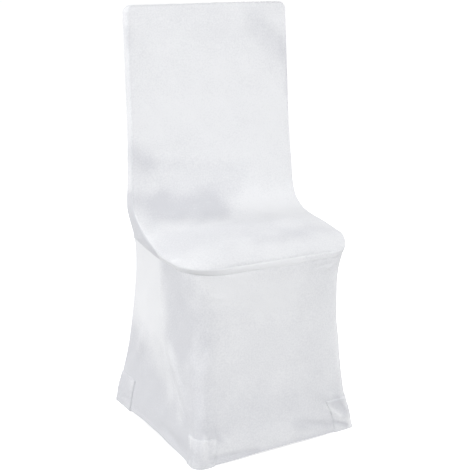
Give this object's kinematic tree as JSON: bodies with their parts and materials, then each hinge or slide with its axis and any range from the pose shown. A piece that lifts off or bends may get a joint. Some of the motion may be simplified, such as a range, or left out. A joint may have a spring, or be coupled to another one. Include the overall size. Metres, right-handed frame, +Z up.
{
  "type": "chair cover",
  "caption": "Fitted stretch cover for a high-backed chair: a panelled cloth shell, hollow and open below, with a cup-shaped pocket for each chair foot.",
  "frame": {"origin": "floor level, midway across the cover and midway through its depth", "axes": "+X to the right seen from the front, +Y towards the back of the chair, +Z up; the cover faces -Y"},
  "size_m": [0.4482, 0.4595, 1.0041],
  "materials": {
    "white_stretch_cloth": "matt white knitted stretch cloth with a soft sheen"
  },
  "bodies": {
    "root": {"front_panel": "white_stretch_cloth", "side_band": "white_stretch_cloth", "rear_panel": "white_stretch_cloth", "skirt": "white_stretch_cloth", "pocket_front_left": "white_stretch_cloth", "pocket_front_right": "white_stretch_cloth", "pocket_rear_left": "white_stretch_cloth", "pocket_rear_right": "white_stretch_cloth"}
  },
  "joints": []
}
